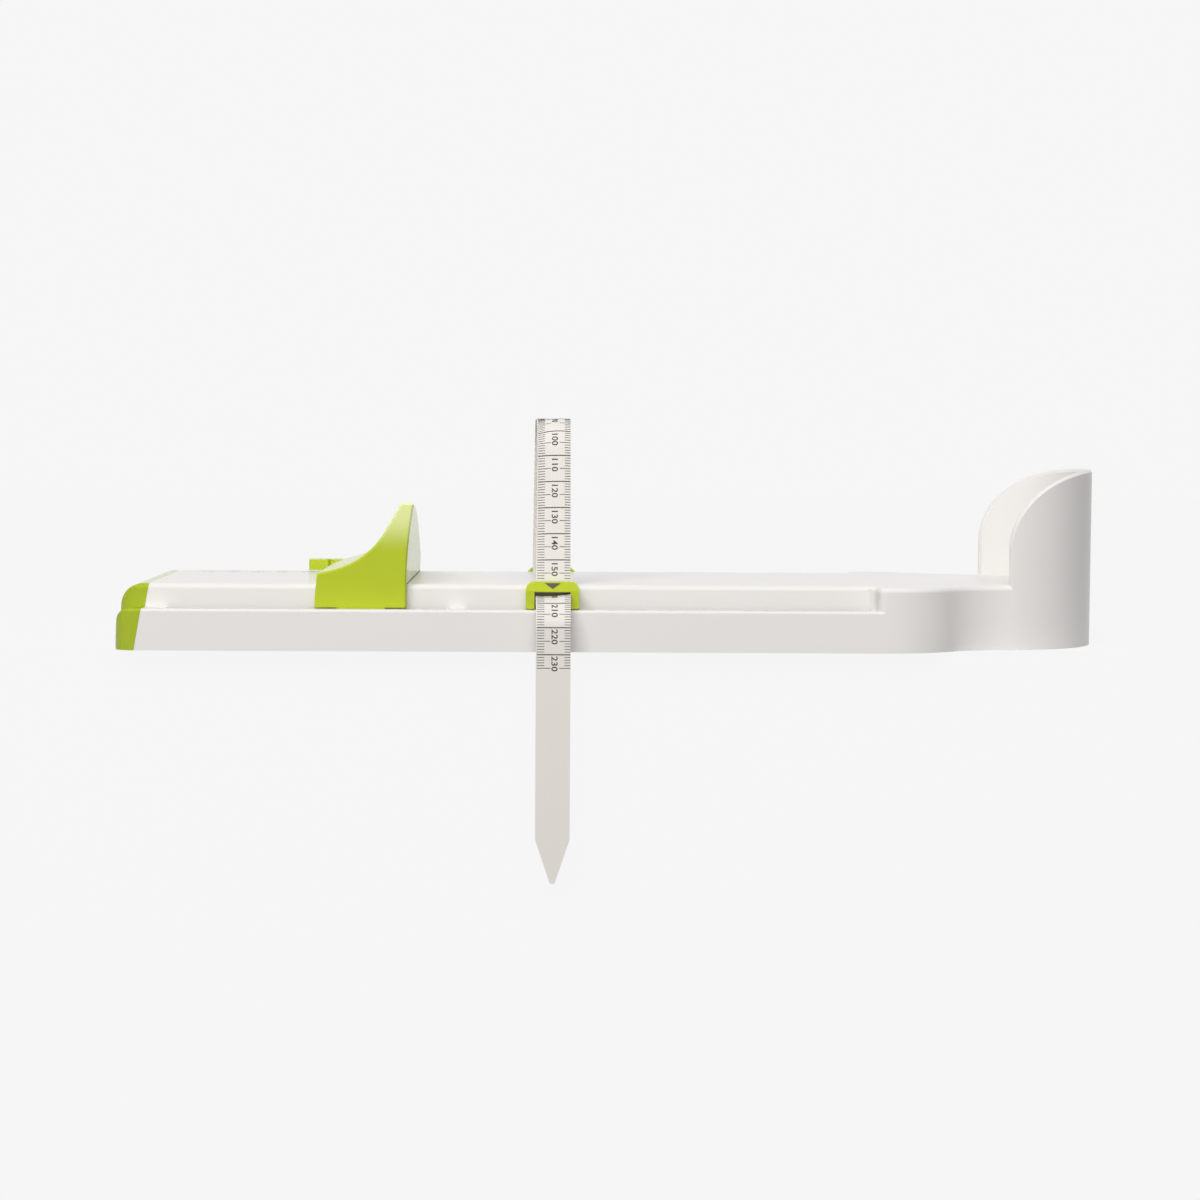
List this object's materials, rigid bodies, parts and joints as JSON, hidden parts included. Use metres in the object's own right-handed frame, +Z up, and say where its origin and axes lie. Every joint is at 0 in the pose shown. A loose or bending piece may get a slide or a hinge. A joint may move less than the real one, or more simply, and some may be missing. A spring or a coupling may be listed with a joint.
{
  "type": "foot measuring device",
  "caption": "Stepped foot plate with a heel cup, a toe slide for length, and a sliding carriage with a tape that loops over the instep and is read at a window.",
  "frame": {"origin": "middle of the flat underside, between the two side walls, about halfway along the foot plate", "axes": "+X runs from the toes to the heel, +Z is up, -Y is the reading side with the tape's window"},
  "size_m": [0.3735, 0.1182, 0.1721],
  "materials": {
    "white_plastic": "smooth satin white",
    "lime_plastic": "smooth lime, faintly translucent",
    "grey_plastic": "plain moulded",
    "printed_tape": "printed coated tape",
    "dark_mark": "inlaid dark mark",
    "spring_steel": "spring steel",
    "pins": "ground",
    "screws": "zinc plated"
  },
  "bodies": {
    "base": {"footplate_shell": "white_plastic", "bottom_cover": "white_plastic", "toe_end_cap": "lime_plastic", "base_screws": "screws"},
    "toe_slide": {"slider_shell": "lime_plastic", "slider_crossbar": "grey_plastic", "slider_springs": "spring_steel", "slider_screws": "screws"},
    "carriage": {"carriage_buckle": "lime_plastic", "pointer_mark": "dark_mark", "carriage_far_clip": "lime_plastic", "carriage_crossbar": "grey_plastic", "carriage_springs": "spring_steel", "carriage_screws": "screws", "tape_guide_pin": "pins", "tape_anchor_pin": "pins", "tape_hem": "printed_tape", "tape_loop": "printed_tape", "tape_feed": "printed_tape", "tape_exit": "printed_tape"},
    "tail_swing": {"tape_tail_root": "printed_tape"},
    "tail": {"tape_tail": "printed_tape"}
  },
  "joints": [
    {"name": "toe_slide_travel", "type": "slide", "parent": "base", "child": "toe_slide", "axis": [1, 0, 0], "range_m": [-0.052, 0.018]},
    {"name": "carriage_travel", "type": "slide", "parent": "base", "child": "carriage", "axis": [1, 0, 0], "range_m": [-0.017, 0.105]},
    {"name": "tail_swing", "type": "hinge", "parent": "carriage", "child": "tail_swing", "pos_m": [-0.023, -0.0632, 0.009], "axis": [-1, 0, 0], "range_deg": [0, 90]},
    {"name": "tape_pull", "type": "slide", "parent": "tail_swing", "child": "tail", "axis": [0, 0, -1], "range_m": [0, 0.08], "deforming": ["tape_loop"]}
  ]
}
